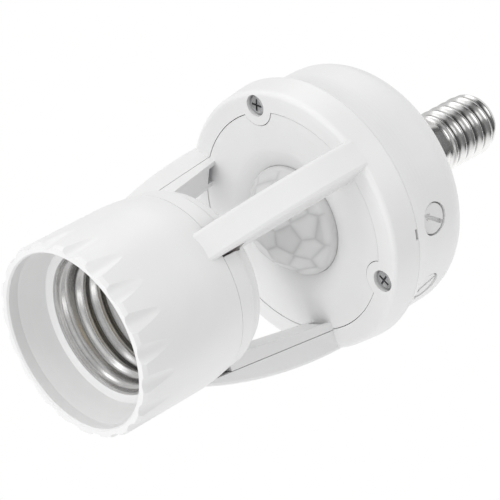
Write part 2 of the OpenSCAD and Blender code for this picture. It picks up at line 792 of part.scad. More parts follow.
module smoothing_capacitor() {
    color("#30343c") translate([-3.5, -13.5, z_board_back + 0.02]) rotate_extrude($fn = 64) polygon(
        [[0, 0], [3.9, 0], [4, 0.2], [4, 1], [3.75, 1.3], [4, 1.6], [4, 11.2], [3.7, 11.5], [0, 11.5]]);
}

module rectifier() {
    color("#25272a") translate([4.5, 1.8, z_board_back + 0.02]) translate([-3, -2.1, 0]) cube([6, 4.2, 2.6]);
}

module regulator() {
    color("#25272a") translate([5.5, -10.5, z_board_back + 0.02]) intersection() {
        cylinder(h = 4.8, r = 2.4, $fn = 48);
        translate([-2.4, -1.2, 0]) cube([4.8, 4.8, 4.8]);
    }
}

module varistor() {
    color("#3566a8") translate([14, 4.4, z_board_back + 4.2]) rotate([0, 90, 0])
        cylinder(h = 3.2, r = 3.7, center = true, $fn = 64);
    color("#c7cacd") for (s = [-1, 1])
        translate([14 - 0.3, 4.4 + s * 2.5 - 0.3, z_board_back]) cube([0.6, 0.6, 2.5]);
}

module fuse_resistor() {
    color("#5f9a6d") translate([5.5, -3.8, z_board_back + 2]) rotate([0, 90, 0])
        cylinder(h = 8, r = 1.75, center = true, $fn = 48);
    color("#c7cacd") for (s = [-1, 1]) {
        translate([5.5 + s * 4.6 - 0.3, -4.1, z_board_back]) cube([0.6, 0.6, 2.3]);
        translate([5.5 + s * 4.3 - 0.6, -4.1, z_board_back + 1.7]) cube([1.2, 0.6, 0.6]);
    }
}

// Lamp socket: a threaded sheet shell in an insulating cup, and the centre contact
wave_steps = 8;
function wave(u) = (1 - cos(360 * u)) / 2;
function ring_waves(z0, turns, pitch, root, crest) =
    [for (i = [0:turns * wave_steps])
        [root + (crest - root) * wave(i / wave_steps), z0 + pitch * i / wave_steps]];

lamp_line = concat(
    [[lamp_rim_d / 2, z_flare], [lamp_rim_d / 2 - 0.3, z_flare + 0.5],
     [lamp_root_d / 2 + 0.1, z_flare + 1.4]],
    ring_waves(z_thread - lamp_pitch / 4, lamp_turns, lamp_pitch, lamp_root_d / 2, lamp_crest_d / 2));

function outward(line, t) = [for (i = [len(line) - 1:-1:0]) [line[i][0] + t, line[i][1]]];
module e27_shell() {
    color("#c9c6c0") rotate_extrude() polygon(concat(
        lamp_line, outward([for (i = [2:len(lamp_line) - 1]) lamp_line[i]], sheet_t),
        [[lamp_rim_d / 2, z_flare + 0.8], [lamp_rim_d / 2 + 0.35, z_flare + sheet_t],
         [cup_out_r - 0.1, z_flare + sheet_t], [cup_out_r - 0.1, z_flare]]));
}

z_cup_end = z_cup_floor + cup_floor_t;
module socket_cup() {
    color("#e7e2d6") difference() {
        rotate_extrude() polygon([
            [cup_in_r, z_cup + 1.1], [lamp_rim_d / 2 + 0.45, z_cup], [cup_out_r, z_cup],
            [cup_out_r, z_cup_end - 0.6],
            [cup_out_r - 0.6, z_cup_end], [0, z_cup_end], [0, z_cup_floor + 0.02],
            [cup_in_r - 0.8, z_cup_floor + 0.02], [cup_in_r, z_cup_floor - 0.8]]);
        translate([0, 0, z_cup_floor - 1]) cylinder(h = 5, r = 1.35, $fn = 32);
    }
}

contact_t = 0.4;
contact_rise = 4.2;
module centre_contact() {
    r = 1.6;
    z = z_cup_floor;
    color("#c9a24b") rotate([0, 0, 90]) difference() {
        rotate([90, 0, 0]) linear_extrude(5, center = true) polygon(concat(
            [[-3, z], [-3, z - contact_t]],
            arc([4.2, z - contact_t - r], r, 90, -60, 6),
            [[-2.6, z - contact_rise - 0.5], [-3.6, z - contact_rise + 0.4],
             [-3.9, z - contact_rise + 0.1], [-2.7, z - contact_rise - 1]],
            arc([4.2, z - contact_t - r], r + contact_t, -60, 90, 6)));
        translate([0, 0, z - contact_t - 1]) cylinder(h = 2, r = 1.35, $fn = 32);
    }
}

rivet_tail = 1;
module contact_rivet() {
    h = cup_floor_t + contact_t + 0.1;
    color("#d9c48a") translate([0, 0, z_cup_floor - contact_t - 0.02]) {
        translate([0, 0, -0.6]) cylinder(h = 0.6, r1 = 1.7, r2 = 2.2, $fn = 48);
        translate([0, 0, -eps]) cylinder(h = h, r = 1.25, $fn = 48);
        translate([0, 0, h - 0.02]) cylinder(h = rivet_tail, r1 = 2, r2 = 1.6, $fn = 48);
    }
}

// Leads inside the part, with their routes written as chosen points
z_under_board = z_board - 0.7;
arm_lead_in = arm_angles[0];
arm_lead_out = arm_angles[2];
function on_arm(a, r, z) = [r * cos(a), r * sin(a), z];
function lamp_route(a, inner) = concat(
    [on_arm(a, 21.4, z_under_board)],
    [on_arm(a, 24.2, z_under_board - 1.2), on_arm(a, 25.3, z_ring + 2.6), on_arm(a, 25.3, z_ring - 2)],
    [on_arm(a, 25, z_ring - 10), on_arm(a, 23.4, z_ring - 19), on_arm(a, 21.1, z_seam + 5.2)],
    [on_arm(a, 19, z_seam + 3.2), on_arm(a, 15.5, z_seam + 2.9)],
    inner);

module lamp_live_lead() {
    color("#c23b32") tube(soft(lamp_route(arm_lead_in,
        [[0, -9, z_seam + 4], [0, -3.4, z_seam + 4.2]])), lead_d / 2);
}

module lamp_neutral_lead() {
    color("#3b62b5") tube(soft(lamp_route(arm_lead_out,
        [[-9, 9, z_seam + 4], [-4, 12.6, z_seam + 4.2]])), lead_d / 2);
}

module cap_tip_lead() {
    color("#c23b32") tube(soft([
        [-3, 2.2, z_board_back + 0.7], [-3, 2.2, z_board_back + 6], [-1, 1.4, z_side - 2],
        [1.2, 0, z_rear], [1.2, 0, z_e14_end - 3.2], [0, 0, z_e14_end - 1.1],
        [0, 0, z_insulator]]), lead_d / 2);
}

module cap_shell_lead() {
    color("#3b62b5") tube(soft([
        [-5.5, -3.4, z_board_back + 0.7], [-5.5, -3.4, z_board_back + 6], [-3, -1.6, z_side - 2],
        [-1.5, 0, z_rear], [-1.5, 0, z_e14_end - 3.6], [-2.6, 0, z_e14_end - 1.2],
        [-5.5, 0, z_e14_end - 1]]), lead_d / 2);
}

// Small cap: threaded shell, insulator and tip contact
cap_line = concat(
    [[cap_root_d / 2 + 0.2, z_e14 + 0.05], [cap_root_d / 2 + 0.2, z_e14 + cap_skirt - 1.2]],
    ring_waves(z_e14 + cap_skirt, cap_turns, cap_pitch, cap_root_d / 2, cap_crest_d / 2),
    [[cap_root_d / 2 - 0.2, z_e14_end - 0.3], [cap_root_d / 2 - 0.6, z_e14_end]]);

module e14_shell() {
    color("#cfcfcd") rotate_extrude() polygon(concat(cap_line, outward(cap_line, -sheet_t)));
}

insulator_r = cap_root_d / 2 - 0.6 - sheet_t;
module e14_insulator() {
    color("#2a2b2d") difference() {
        rotate_extrude() polygon([
            [0, z_e14_end - 0.2], [insulator_r - 0.15, z_e14_end - 0.2],
            [insulator_r - 0.15, z_e14_end + 0.03], [insulator_r + 0.1, z_e14_end + 0.06],
            [insulator_r, z_e14_end + 0.4], [tip_d / 2 + 0.3, z_insulator], [0, z_insulator]]);
        translate([0, 0, z_e14_end - 1]) cylinder(h = insulator_h + 2, r = lead_d / 2 + 0.15, $fn = 32);
    }
}

module e14_tip() {
    color("#b9bab8") translate([0, 0, z_insulator + 0.02]) rotate_extrude($fn = 64) polygon(concat(
        [[0, 0], [tip_d / 2, 0], [tip_d / 2, 0.5]],
        arc([tip_d / 2 - 1.4, tip_h - 1.4], 1.4, 20, 90, 5),
        [[0, tip_h]]));
}

housing_cage();
inner_cover();
pir_lens();
lens_retainer();
rear_shell();
case_screws();
time_knob();
lux_knob();
time_trimmer();
lux_trimmer();
main_board();
board_screws();
sensor_board();
board_header();
pir_detector();
pir_window();
light_cell();
control_chip();
relay();
film_capacitor();
smoothing_capacitor();
rectifier();
regulator();
varistor();
fuse_resistor();
e27_shell();
socket_cup();
centre_contact();
contact_rivet();
lamp_live_lead();
lamp_neutral_lead();
cap_tip_lead();
cap_shell_lead();
e14_shell();
e14_insulator();
e14_tip();
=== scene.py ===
"""Looks of a motion sensor lamp holder: finishes, formed metal and a white studio round its solids.

The pieces and finishes have their sizes in millimetres, and the studio in metres. The frame is the part's
own: the mouth of the lamp barrel lies on z = 0, and +Z runs to the tip of the small cap.
"""

import logging
import math
from abc import ABC, abstractmethod
from dataclasses import dataclass, fields
from enum import Enum

import bpy
import numpy as np
from mathutils import Matrix


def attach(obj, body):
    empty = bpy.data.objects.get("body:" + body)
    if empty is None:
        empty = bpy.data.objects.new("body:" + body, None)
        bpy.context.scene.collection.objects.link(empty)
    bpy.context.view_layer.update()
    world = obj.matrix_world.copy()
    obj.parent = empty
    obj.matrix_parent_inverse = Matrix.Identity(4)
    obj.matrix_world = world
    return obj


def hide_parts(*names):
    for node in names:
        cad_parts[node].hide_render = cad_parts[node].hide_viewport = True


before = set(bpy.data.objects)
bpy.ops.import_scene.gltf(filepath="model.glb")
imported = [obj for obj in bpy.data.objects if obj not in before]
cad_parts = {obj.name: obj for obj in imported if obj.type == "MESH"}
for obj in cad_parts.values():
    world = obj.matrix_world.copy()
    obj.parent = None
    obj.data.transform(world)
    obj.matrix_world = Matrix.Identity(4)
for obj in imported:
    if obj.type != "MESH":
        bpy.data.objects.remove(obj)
log = logging.getLogger("lamp_holder")

# A millimetre in metres, the body that the formed pieces ride on, and white with full cover.
MM = 0.001
HOLDER = "holder"
WHITE = (1.0, 1.0, 1.0, 1.0)


class Ray(Enum):
    """The kinds of ray, each with the name of an object's switch for it."""

    CAMERA = "visible_camera"
    DIFFUSE = "visible_diffuse"
    GLOSSY = "visible_glossy"
    SHADOW = "visible_shadow"
    TRANSMISSION = "visible_transmission"


class Value:
    """A shader socket that takes part in Python expressions."""

    def __init__(self, recipe: "Recipe", socket: bpy.types.NodeSocket) -> None:
        """Keeps the socket and the recipe that its nodes go into."""
        self.recipe = recipe
        self.socket = socket

    def _math(self, operation: str, *terms: "Value | float") -> "Value":
        """One Math node.

        Args:
            operation: the Math node's operation.
            terms: its values or links, in order.

        Returns:
            The node's result.
        """
        return self.recipe.value("ShaderNodeMath", {"operation": operation}, dict(enumerate(terms)))

    def __add__(self, other: "Value | float") -> "Value":
        """self + other."""
        return self._math("ADD", self, other)

    def __radd__(self, other: float) -> "Value":
        """other + self."""
        return self._math("ADD", other, self)

    def __sub__(self, other: "Value | float") -> "Value":
        """self - other."""
        return self._math("SUBTRACT", self, other)

    def __mul__(self, other: "Value | float") -> "Value":
        """self * other."""
        return self._math("MULTIPLY", self, other)

    def root(self) -> "Value":
        """The square root."""
        return self._math("SQRT", self)

    def sine(self) -> "Value":
        """The sine of an angle in radians."""
        return self._math("SINE", self)

    def larger(self, other: "Value | float") -> "Value":
        """The larger of the two."""
        return self._math("MAXIMUM", self, other)

    def swing(self, amount: float) -> "Value":
        """A pattern that lies about 0.5, moved to lie about 0 and multiplied by the amount."""
        return (self - 0.5) * amount

    def step(self, low: float, high: float) -> "Value":
        """A smooth step from 0 at low to 1 at high."""
        sockets = {"Value": self, "From Min": low, "From Max": high}
        return self.recipe.value("ShaderNodeMapRange", {"interpolation_type": "SMOOTHSTEP"}, sockets)


@dataclass(frozen=True)
class Noise:
    """Noise on the object coordinates: waves per millimetre, octaves, fine octaves' weight, axes' factors."""

    per_mm: float
    detail: float = 2.0
    rough: float = 0.5
    squash: tuple = (1.0, 1.0, 1.0)


class Recipe:
    """The node tree of one material or of the world."""

    def __init__(self, owner: bpy.types.ID) -> None:
        """Empties the owner's node tree."""
        owner.use_nodes = True
        self.owner = owner
        self.tree = owner.node_tree
        self.tree.nodes.clear()

    def node(self, kind: str, settings: dict | None = None, sockets: dict | None = None) -> bpy.types.Node:
        """Adds a node.

        Args:
            kind: the node's type.
            settings: its properties, set first.
            sockets: values or links by socket name or number.

        Returns:
            The node.
        """
        made = self.tree.nodes.new(kind)
        for key, setting in (settings or {}).items():
            setattr(made, key, setting)
        for key, term in (sockets or {}).items():
            socket = made.inputs[key]
            if isinstance(term, Value):
                self.tree.links.new(term.socket, socket)
            elif isinstance(term, bpy.types.NodeSocket):
                self.tree.links.new(term, socket)
            else:
                socket.default_value = term
        return made

    def value(self, kind: str, settings: dict, sockets: dict, out: int | str = 0) -> Value:
        """Adds a node and returns one of its outputs.

        Args:
            kind: the node's type.
            settings: its properties.
            sockets: its values or links.
            out: the output's number or name.

        Returns:
            The output, ready for an expression.
        """
        return Value(self, self.node(kind, settings, sockets).outputs[out])

    def attribute(self, name: str) -> Value:
        """A number that the mesh carries, or 0 where it carries none."""
        return self.value("ShaderNodeAttribute", {"attribute_name": name}, {}, "Fac")

    def place(self) -> Value:
        """The object coordinates, in metres."""
        return self.value("ShaderNodeTexCoord", {}, {}, "Object")

    def axes(self) -> tuple[Value, Value, Value]:
        """The three object coordinates as numbers in millimetres."""
        split = self.node("ShaderNodeSeparateXYZ", {}, {0: self.place()})
        return tuple(Value(self, split.outputs[i]) * (1 / MM) for i in range(3))

    def noise(self, pattern: Noise) -> Value:
        """The noise of a pattern, a number about 0.5."""
        scaled = self.value("ShaderNodeMapping", {}, {"Vector": self.place(), "Scale": pattern.squash})
        scale = {"Scale": pattern.per_mm / MM, "Detail": pattern.detail, "Roughness": pattern.rough}
        return self.value("ShaderNodeTexNoise", {}, {"Vector": scaled, **scale})

    def blend(self, factor: Value, first: "tuple | Value", second: "tuple | Value") -> Value:
        """A colour between two colours.

        Args:
            factor: 0 for the first, 1 for the second.
            first: red, green and blue, or a link.
            second: red, green and blue, or a link.

        Returns:
            The mixed colour.
        """
        ends = [end if isinstance(end, Value) else (*end, 1.0) for end in (first, second)]
        mixed = self.node("ShaderNodeMix", {"data_type": "RGBA"}, {0: factor, 6: ends[0], 7: ends[1]})
        return Value(self, mixed.outputs[2])

    def bump(self, height: Value, depth: float) -> Value:
        """A normal that follows a height, with the depth in millimetres of a height of 1."""
        return self.value("ShaderNodeBump", {}, {"Height": height, "Distance": depth * MM})

    def end(self, shader: bpy.types.Node, output: str = "ShaderNodeOutputMaterial") -> bpy.types.ID:
        """Ends the tree in a shader and returns the tree's owner."""
        self.node(output, {}, {"Surface": shader.outputs[0]})
        return self.owner

    def surface(self, sockets: dict) -> bpy.types.Material:
        """Ends the material in one Principled shader with these values and links, and returns it."""
        return self.end(self.node("ShaderNodeBsdfPrincipled", {}, sockets))

    def veil(self, shader: bpy.types.Node, hidden: Value) -> bpy.types.Material:
        """Ends the material in a shader that is gone where hidden is 1, and returns it."""
        gone = self.node("ShaderNodeBsdfTransparent")
        sockets = {0: hidden, 1: shader.outputs[0], 2: gone.outputs[0]}
        return self.end(self.node("ShaderNodeMixShader", {}, sockets))


@dataclass(frozen=True)
class MouldedPlastic:
    """Satin moulded plastic with a fine spark-eroded grain."""

    name: str
    tone: tuple
    shade: tuple
    roughness: float = 0.42
    cloud_gloss: float = 0.10
    grain_gloss: float = 0.08
    depth: float = 0.35
    grain_height: float = 0.012
    swell_height: float = 0.06
    shade_step: tuple = (0.35, 0.75)
    refraction: float = 1.5
    cloud: Noise = Noise(per_mm=0.06, detail=3.0, rough=0.55)
    grain: Noise = Noise(per_mm=5.0, rough=0.6)
    swell: Noise = Noise(per_mm=0.12, detail=1.0)

    def make(self) -> bpy.types.Material:
        """Builds the material: a hardly seen cloud in the tone, and grain in the gloss and the normal."""
        recipe = Recipe(bpy.data.materials.new(self.name))
        cloud, grain, swell = recipe.noise(self.cloud), recipe.noise(self.grain), recipe.noise(self.swell)
        return recipe.surface({
            "Base Color": recipe.blend(cloud.step(*self.shade_step), self.tone, self.shade),
            "Roughness": self.roughness + cloud.swing(self.cloud_gloss) + grain.swing(self.grain_gloss),
            "Normal": recipe.bump(grain * self.grain_height + swell * self.swell_height, self.depth),
            "IOR": self.refraction,
        })


@dataclass(frozen=True)
class MilkyLens:
    """Milky lens plastic: each cell has a tone of its own, and the lines between cells are darker."""

    name: str = "milky_lens"
    cell_dark: tuple = (0.67, 0.67, 0.67)
    cell_light: tuple = (0.73, 0.73, 0.73)
    line: tuple = (0.38, 0.38, 0.38)
    line_share: float = 0.55
    cloud_tone: float = 0.25
    roughness: float = 0.30
    cloud_gloss: float = 0.08
    depth: float = 0.01
    scatter: float = 0.25
    scatter_length: float = 1.2
    coat: float = 0.25
    coat_roughness: float = 0.12
    cloud: Noise = Noise(per_mm=0.5)
    grain: Noise = Noise(per_mm=3.0)

    def make(self) -> bpy.types.Material:
        """Builds the material from the mesh's attributes for a cell's tone and for the lines."""
        recipe = Recipe(bpy.data.materials.new(self.name))
        cloud = recipe.noise(self.cloud)
        tone = recipe.attribute("cell_tone") + cloud.swing(self.cloud_tone)
        cells = recipe.blend(tone, self.cell_dark, self.cell_light)
        return recipe.surface({
            "Base Color": recipe.blend(recipe.attribute("cell_line") * self.line_share, cells, self.line),
            "Roughness": self.roughness + cloud * self.cloud_gloss,
            "Normal": recipe.bump(recipe.noise(self.grain), self.depth),
            "Subsurface Weight": self.scatter,
            "Subsurface Radius": (1.0, 1.0, 1.0),
            "Subsurface Scale": self.scatter_length * MM,
            "Coat Weight": self.coat,
            "Coat Roughness": self.coat_roughness,
        })


@dataclass(frozen=True)
class FormedMetal:
    """Formed or turned metal with fine marks round the axis and a thin haze; marks is their depth."""

    name: str
    tone: tuple
    shade: tuple
    roughness: float
    marks: float = 0.02
    rings_per_mm: float = 6.0
    haze: float = 0.12
    # Share of the shade colour that is painted into a thread's roots as shade.
    root_shade_tone: float = 0.3
    speck_share: float = 0.4
    ring_share: float = 0.5
    least_roughness: float = 0.03
    shade_step: tuple = (0.3, 0.8)
    ring_squash: tuple = (0.05, 0.05, 1.0)
    cloud: Noise = Noise(per_mm=0.35, detail=3.0, rough=0.6)
    speck: Noise = Noise(per_mm=7.0, rough=0.7)

    def make(self) -> bpy.types.Material:
        """Builds the material: marks round the axis, haze in the gloss, and painted shade that darkens a
        thread's roots.
        """
        recipe = Recipe(bpy.data.materials.new(self.name))
        cloud, speck = recipe.noise(self.cloud), recipe.noise(self.speck)
        rings = recipe.noise(Noise(self.rings_per_mm, rough=0.6, squash=self.ring_squash))
        gloss = self.roughness + cloud.swing(self.haze) + speck.swing(self.haze * self.speck_share)
        metal = recipe.blend(cloud.step(*self.shade_step), self.tone, self.shade)
        # Painted shade: a darker colour laid into a thread's roots, where shade falls between the crests.
        painted_root_shade = tuple(part * self.root_shade_tone for part in self.shade)
        marks = rings * self.ring_share + speck * (1 - self.ring_share)
        return recipe.surface({
            "Base Color": recipe.blend(recipe.attribute("thread_root"), metal, painted_root_shade),
            "Metallic": 1.0,
            "Roughness": gloss.larger(self.least_roughness),
            "Normal": recipe.bump(marks, self.marks),
        })


@dataclass(frozen=True)
class PlainPart:
    """An electronic part's lacquer, sleeve or moulding, with fine speckle."""

    name: str
    tone: tuple
    roughness: float = 0.35
    speckle: float = 0.12
    coat: float = 0.0
    darkening: float = 2.2
    speck_gloss: float = 0.15
    depth: float = 0.02
    speck_step: tuple = (0.35, 0.75)
    speck: Noise = Noise(per_mm=2.2, detail=3.0, rough=0.6)

    def make(self) -> bpy.types.Material:
        """Builds the material: the tone, darkened in specks by the darkening times the speckle."""
        recipe = Recipe(bpy.data.materials.new(self.name))
        speck = recipe.noise(self.speck)
        darker = tuple(part * (1 - self.darkening * self.speckle) for part in self.tone)
        return recipe.surface({
            "Base Color": recipe.blend(speck.step(*self.speck_step), self.tone, darker),
            "Roughness": self.roughness + speck.swing(self.speck_gloss),
            "Normal": recipe.bump(speck, self.depth),
            "Coat Weight": self.coat,
        })


@dataclass(frozen=True)
class BoardLaminate:
    """Circuit board laminate: woven glass under a solder mask, with copper tracks showing through."""

    name: str = "board_laminate"
    mask: tuple = (0.03, 0.20, 0.08)
    track: tuple = (0.06, 0.32, 0.13)
    track_step: tuple = (0.49, 0.52)
    weave_radians_per_mm: float = 9.0
    weave_height: float = 0.15
    roughness: float = 0.32
    track_gloss: float = 0.1
    depth: float = 0.03
    coat: float = 0.3
    shapes: Noise = Noise(per_mm=0.22, detail=1.0)

    def make(self) -> bpy.types.Material:
        """Builds the material: broad track shapes in the mask's tone and a fine weave in the normal."""
        recipe = Recipe(bpy.data.materials.new(self.name))
        x, y, _ = recipe.axes()
        shapes = recipe.noise(self.shapes)
        tracks = shapes.step(*self.track_step)
        weave = (x * self.weave_radians_per_mm).sine() * (y * self.weave_radians_per_mm).sine()
        return recipe.surface({
            "Base Color": recipe.blend(tracks, self.mask, self.track),
            "Roughness": self.roughness + shapes.swing(self.track_gloss),
            "Normal": recipe.bump(tracks + weave * self.weave_height, self.depth),
            "Coat Weight": self.coat,
        })


def spline(points: np.ndarray, count: int) -> np.ndarray:
    """A smooth curve through points: each span is the cubic whose end slopes are half its neighbours' chord.

    Args:
        points: the points, one a row.
        count: how many points the curve gets.

    Returns:
        The curve's points.
    """
    last = len(points) - 1
    t = np.linspace(0.0, last, count)
    i = np.minimum(t.astype(int), last - 1)
    u = (t - i)[:, None]
    a, b, c, d = (points[np.clip(i + k, 0, last)] for k in (-1, 0, 1, 2))
    return 0.5 * (2 * b + (c - a) * u + (2 * a - 5 * b + 4 * c - d) * u**2 + (3 * b - 3 * c + d - a) * u**3)


def smooth_step(t: np.ndarray) -> np.ndarray:
    """0 below 0, 1 above 1, and 3t^2 - 2t^3 between."""
    t = np.clip(t, 0.0, 1.0)
    return t * t * (3 - 2 * t)


def round_axis(radius: np.ndarray, azimuth: np.ndarray, height: np.ndarray) -> np.ndarray:
    """Points round the axis, at (radius cos azimuth, radius sin azimuth, height).

    Args:
        radius: the distance from the axis.
        azimuth: the angle from +X, in radians.
        height: the place along the axis.

    Returns:
        The points, in the shape that the three have together and one axis more.
    """
    x, y = radius * np.cos(azimuth), radius * np.sin(azimuth)
    return np.stack(np.broadcast_arrays(x, y, height), axis=-1)


def directions(pole: np.ndarray, azimuth: np.ndarray) -> np.ndarray:
    """Unit vectors at a polar angle from -Z and an azimuth from +X, both in radians."""
    return round_axis(np.sin(pole), azimuth, -np.cos(pole))


def add(name: str, data: bpy.types.ID) -> bpy.types.Object:
    """Adds an object with this data to the scene."""
    made = bpy.data.objects.new(name, data)
    bpy.context.scene.collection.objects.link(made)
    return made


def carry(mesh: bpy.types.Mesh, name: str, numbers: np.ndarray) -> None:
    """Gives each point of a mesh a number, under a name that a material can read."""
    made = mesh.attributes.new(name, "FLOAT", "POINT")
    made.data.foreach_set("value", numbers.ravel().astype(np.float32))


def hide(thing: bpy.types.Object, *rays: Ray) -> None:
    """Hides an object from some kinds of ray."""
    for ray in rays:
        setattr(thing, ray.value, False)


def grid_mesh(name: str, grid: np.ndarray, poles: tuple = ()) -> bpy.types.Object:
    """A closed mesh over a grid whose columns run round the axis.

    With two poles, a fan of triangles closes each end. Without them, the last row joins the first.

    Args:
        name: the piece's name.
        grid: points in millimetres, shaped rows, columns, 3.
        poles: the end points before the first row and past the last.

    Returns:
        The piece, with its faces pointing outwards.
    """
    rows, cols, _ = grid.shape
    points = np.concatenate([grid.reshape(-1, 3), np.reshape(poles, (-1, 3))])
    index = np.arange(rows * cols).reshape(rows, cols)
    beside = np.roll(index, -1, axis=1)
    quads = np.stack([index, beside, np.roll(beside, -1, axis=0), np.roll(index, -1, axis=0)], axis=-1)
    fans = np.empty((0, 3), int)
    if poles:
        quads = quads[:-1]
        start = np.full(cols, rows * cols)
        first = np.stack([start, beside[0], index[0]], axis=-1)
        last = np.stack([start + 1, index[-1], beside[-1]], axis=-1)
        fans = np.concatenate([first, last])
    quads = quads.reshape(-1, 4)
    a, b, c = np.moveaxis(points[np.concatenate([quads[:, [0, 1, 2]], quads[:, [0, 2, 3]], fans])], 1, 0)
    inside_out = np.sum(a * np.cross(b, c)) < 0
    if inside_out:
        quads, fans = quads[:, ::-1], fans[:, ::-1]
    mesh = bpy.data.meshes.new(name)
    mesh.from_pydata((points * MM).tolist(), [], quads.tolist() + fans.tolist())
    mesh.shade_smooth()
    return add(name, mesh)


@dataclass(frozen=True)
class FormedPiece(ABC):
    """A formed piece of the holder, with the solid's node that it stands for and the record's slot."""

    name: str
    node: str
    slot: str

    @abstractmethod
    def build(self) -> bpy.types.Object:
        """Builds the piece."""

    def dress(self, material: bpy.types.Material) -> None:
        """Builds the piece, gives it its finish and ties it to the frame.

        Args:
            material: the finish.
        """
        piece = self.build()
        piece.data.materials.append(material)
        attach(piece, HOLDER)
        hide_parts(self.node)
        log.info("%s: %d faces", piece.name, len(piece.data.polygons))


@dataclass(frozen=True)
class ThreadedShell(FormedPiece):
    """A formed sheet shell with a rolled round thread.

    Its profile, in radius and height, is a curve through the points before, a straight line at root_r from
    z_start to z_end, and a curve through the points after. The sheet's other side lies outside, or inside
    where the sheet is below 0. The turn is a share of a full turn, and the fade a share of the pitch.
    """

    pitch: float
    root_r: float
    crest_r: float
    z_start: float
    z_end: float
    before: tuple
    after: tuple
    sheet: float
    turn: float
    fade: float = 0.45
    root_share: float = 0.3
    columns: int = 256
    rows_per_mm: float = 7.0
    rows_per_point: int = 14

    def profile(self) -> tuple[np.ndarray, np.ndarray]:
        """The smooth profile without its thread, as radii and heights in one column each."""
        lead, tail = (spline(np.array(curve, float), self.rows_per_point * len(curve))
                      for curve in (self.before, self.after))
        rows = int((self.z_end - self.z_start) * self.rows_per_mm)
        z = np.linspace(self.z_start, self.z_end, rows)[1:-1]
        straight = np.stack([np.full_like(z, self.root_r), z], axis=1)
        line = np.concatenate([lead, straight, tail])
        return line[:, :1], line[:, 1:]

    def build(self) -> bpy.types.Object:
        """Builds the shell as a closed surface.

        The radius is the smooth profile's own radius plus the thread, which is the thread's depth times
        (1 - cos(2 pi (z / pitch - turn) - azimuth)) / 2, faded in and out over part of a pitch. The other
        side lies the sheet's thickness away along the profile's normal. The attribute thread_root is 1 in
        a root and falls to 0 at root_share of the depth.

        Returns:
            The piece.
        """
        smooth_r, z = self.profile()
        theta = np.linspace(0, 2 * np.pi, self.columns, endpoint=False)
        wave = (1 - np.cos(2 * np.pi * (z / self.pitch - self.turn) - theta)) / 2
        fade = self.fade * self.pitch
        threaded = smooth_step((z - self.z_start) / fade) * smooth_step((self.z_end - z) / fade)
        r = smooth_r + (self.crest_r - self.root_r) * wave * threaded
        z = np.broadcast_to(z, r.shape)
        dr, dz = np.gradient(r, axis=0), np.gradient(z, axis=0)
        away = self.sheet / np.hypot(dr, dz)
        other_r, other_z = r + away * dz, z - away * dr
        r, z = np.concatenate([r, other_r[::-1]]), np.concatenate([z, other_z[::-1]])
        piece = grid_mesh(self.name, round_axis(r, theta, z))
        # Mask for the painted shade that the metal lays into the thread's roots.
        root = smooth_step((self.root_share - wave) / self.root_share) * threaded
        carry(piece.data, "thread_root", np.concatenate([root, root[::-1]]))
        return piece


@dataclass(frozen=True)
class SensorLens(FormedPiece):
    """The milky dome of soft cells over a smooth skirt, with its flange.

    Each ring of cells has a polar angle, a number of cells and the first one's azimuth. Polar angles are
    in degrees from the tip. The cells end over cells_blend degrees from cells_pole, and the skirt widens
    to skirt_r over skirt_blend degrees from skirt_pole.
    """

    centre_z: float = 64.3
    radius: float = 11.5
    wall: float = 0.8
    flange_r: float = 13.3
    flange_z: tuple = (62.95, 63.95)
    edge: float = 0.1
    rings: tuple = ((0, 1, 0), (28, 6, 15), (49, 11, 4), (68, 10, 20))
    flatness: float = 0.85
    flat_share: float = 0.975
    line_width: float = 0.016
    cells_pole: float = 66.0
    cells_blend: float = 5.0
    skirt_r: float = 11.97
    skirt_pole: float = 63.0
    skirt_blend: float = 12.0
    skirt_line: float = 0.22
    hidden_tone: float = 0.5
    tip_pole: float = 0.6
    inner_poles: tuple = (88.0, 1.0)
    rows: int = 130
    inner_rows: int = 40
    columns: int = 288
    seed: int = 7

    def centres(self) -> np.ndarray:
        """The directions of the cells' centres, one a row."""
        spots = [(pole, turn + i * 360 / count) for pole, count, turn in self.rings for i in range(count)]
        return directions(*np.radians(np.array(spots, float)).T)

    def build(self) -> bpy.types.Object:
        """Builds the lens.

        A point's radius lies between the sphere and its cell's flat, which is the plane square to the
        nearest centre. The difference between the two nearest centres gives the line between two cells.

        Returns:
            The piece.
        """
        front, back = self.flange_z
        last = math.degrees(math.acos((self.centre_z - front) / self.radius))
        pole = np.linspace(self.tip_pole, last, self.rows)[:, None]
        theta = np.linspace(0, 2 * np.pi, self.columns, endpoint=False)
        towards = directions(np.radians(pole), theta)
        near = towards @ self.centres().T
        second, nearest = np.moveaxis(np.sort(near, axis=-1)[..., -2:], -1, 0)
        celled = 1 - smooth_step((pole - self.cells_pole) / self.cells_blend)
        flat = np.minimum(self.flat_share / nearest, 1.0)
        dome = towards * (self.radius * (1 + self.flatness * celled * (flat - 1)))[..., None]
        skirt = smooth_step((pole - self.skirt_pole) / self.skirt_blend)[..., None]
        rim = round_axis(self.skirt_r, theta, 0.0)
        dome[..., :2] += (rim - dome)[..., :2] * skirt
        tones = np.random.default_rng(self.seed).random(len(self.centres()))
        tone = tones[np.argmax(near, axis=-1)] * celled
        line = np.exp((second - nearest) / self.line_width) * celled + (1 - celled) * self.skirt_line

        inner_r = self.radius - self.wall
        flange = np.array([
            (self.skirt_r + self.edge, front), (self.flange_r - self.edge, front),
            (self.flange_r, front + self.edge), (self.flange_r, back - self.edge),
            (self.flange_r - self.edge, back), (inner_r + self.edge, back)])
        inner_pole = np.radians(np.linspace(*self.inner_poles, self.inner_rows))[:, None]
        inside = inner_r * directions(inner_pole, theta)
        around = round_axis(flange[:, :1], theta, flange[:, 1:] - self.centre_z)
        tip = self.radius * (1 + self.flatness * (self.flat_share - 1))
        poles = ((0, 0, self.centre_z - tip), (0, 0, self.centre_z - inner_r))
        grid = np.concatenate([dome, around, inside]) + (0, 0, self.centre_z)
        piece = grid_mesh(self.name, grid, poles)
        rest = len(piece.data.vertices) - tone.size
        carry(piece.data, "cell_tone", np.append(tone, np.full(rest, self.hidden_tone)))
        carry(piece.data, "cell_line", np.append(line, np.zeros(rest)))
        return piece


